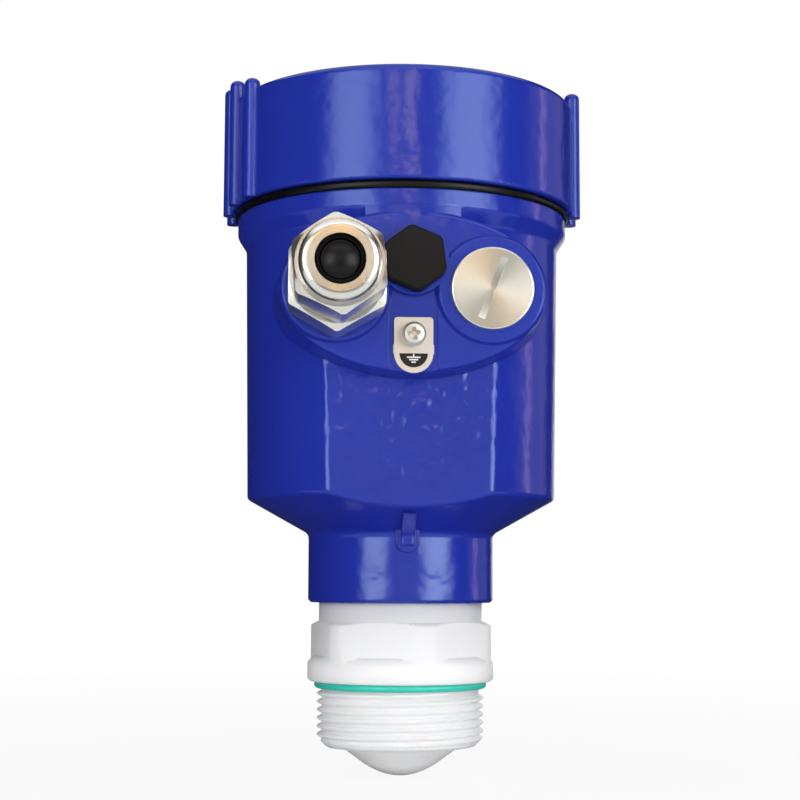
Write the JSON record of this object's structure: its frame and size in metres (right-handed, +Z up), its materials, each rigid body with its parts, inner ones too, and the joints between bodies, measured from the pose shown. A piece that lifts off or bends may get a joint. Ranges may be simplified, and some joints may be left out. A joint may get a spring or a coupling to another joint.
{
  "type": "radar level sensor",
  "caption": "Compact radar level sensor: blue die-cast housing with screw lid, cable gland, blind plug, vent and earth terminal over a white threaded fitting with a plastic lens.",
  "frame": {"origin": "on the sensor's axis, in the plane of the sealing face under the process fitting's flange", "axes": "+Z up along the sensor's axis, from the lens to the lid; -Y towards the front with the cable gland, blind plug, vent and earth terminal; +X to the right seen from the front"},
  "size_m": [0.105, 0.1401, 0.1991],
  "materials": {
    "blue_powder_coat": "glossy blue powder coat on die-cast aluminium",
    "white_plastic": "moulded white fluoropolymer",
    "green_seal": "moulded green rubber",
    "black_rubber": "moulded black rubber",
    "nickel": "bright nickel plating on turned brass",
    "black_plastic": "moulded black plastic",
    "membrane": "porous white membrane",
    "bright_steel": "stainless steel",
    "grey_plastic": "moulded grey plastic",
    "horn_aluminium": "turned aluminium",
    "circuit_board": "green solder mask on glass fibre board",
    "tinned_shield": "tinned sheet",
    "dark_module": "moulded dark grey plastic",
    "terminal_green": "moulded green plastic",
    "clamp_brass": "plain brass",
    "component_black": "moulded black component bodies",
    "cable_grey": "grey ribbon cable"
  },
  "bodies": {
    "housing": {"housing": "blue_powder_coat", "gland_body": "nickel", "gland_body_seal": "black_rubber", "vent_body": "black_plastic", "vent_seal": "black_rubber", "vent_membrane": "membrane", "process_fitting": "white_plastic", "process_seal": "green_seal", "neck_seal": "black_rubber", "antenna_horn": "horn_aluminium", "radar_board": "circuit_board", "radar_shield": "tinned_shield", "radar_screws": "bright_steel", "radar_clamp_ring": "horn_aluminium", "ribbon_cable": "cable_grey", "module_cup": "dark_module", "module_cover": "dark_module", "supply_board": "circuit_board", "signal_board": "circuit_board", "board_standoffs": "clamp_brass", "board_components": "component_black", "module_screws": "bright_steel", "terminal_block": "terminal_green", "terminal_clamps": "clamp_brass", "terminal_screws": "bright_steel", "inner_earth_washer": "bright_steel", "inner_earth_screw": "bright_steel"},
    "lid_seal": {"lid_seal": "black_rubber"},
    "lid": {"lid": "blue_powder_coat"},
    "gland_insert": {"gland_cage": "grey_plastic", "gland_seal": "black_rubber", "gland_dust_plug": "black_rubber"},
    "gland_nut": {"gland_nut": "nickel"},
    "earth_clamp": {"earth_plate": "bright_steel", "earth_washer": "bright_steel"},
    "earth_screw": {"earth_screw": "bright_steel"},
    "plug_seal": {"blind_plug_seal": "black_rubber"},
    "blind_plug": {"blind_plug": "nickel"}
  },
  "joints": [
    {"name": "lid_lift", "type": "slide", "parent": "housing", "child": "lid_seal", "axis": [0, 0, 1], "range_m": [0, 0.016]},
    {"name": "lid_turn", "type": "hinge", "parent": "lid_seal", "child": "lid", "pos_m": [0, 0, 0.1514], "axis": [0, 0, 1], "range_deg": [0, 2881]},
    {"name": "gland_nut_travel", "type": "slide", "parent": "housing", "child": "gland_insert", "axis": [0, -1, 0], "range_m": [0, 0.0075]},
    {"name": "gland_nut_turn", "type": "hinge", "parent": "gland_insert", "child": "gland_nut", "pos_m": [-0.02085, -0.0775, 0.1058], "axis": [0, -1, 0], "range_deg": [0, 1801]},
    {"name": "earth_clamp_travel", "type": "slide", "parent": "housing", "child": "earth_clamp", "axis": [0, -1, 0], "range_m": [0, 0.0028]},
    {"name": "earth_screw_turn", "type": "hinge", "parent": "earth_clamp", "child": "earth_screw", "pos_m": [0, -0.0505, 0.0934], "axis": [0, -1, 0], "range_deg": [0, 1441]},
    {"name": "blind_plug_travel", "type": "slide", "parent": "housing", "child": "plug_seal", "axis": [0, -1, 0], "range_m": [0, 0.0105]},
    {"name": "blind_plug_turn", "type": "hinge", "parent": "plug_seal", "child": "blind_plug", "pos_m": [0.02085, -0.0505, 0.1058], "axis": [0, -1, 0], "range_deg": [0, 2521]}
  ],
  "couplings": [
    {"joint": "lid_turn", "follows": "lid_lift", "rad_per_m": 3141.6},
    {"joint": "gland_nut_turn", "follows": "gland_nut_travel", "rad_per_m": 4188.8},
    {"joint": "earth_screw_turn", "follows": "earth_clamp_travel", "rad_per_m": 8976},
    {"joint": "blind_plug_turn", "follows": "blind_plug_travel", "rad_per_m": 4188.8}
  ]
}
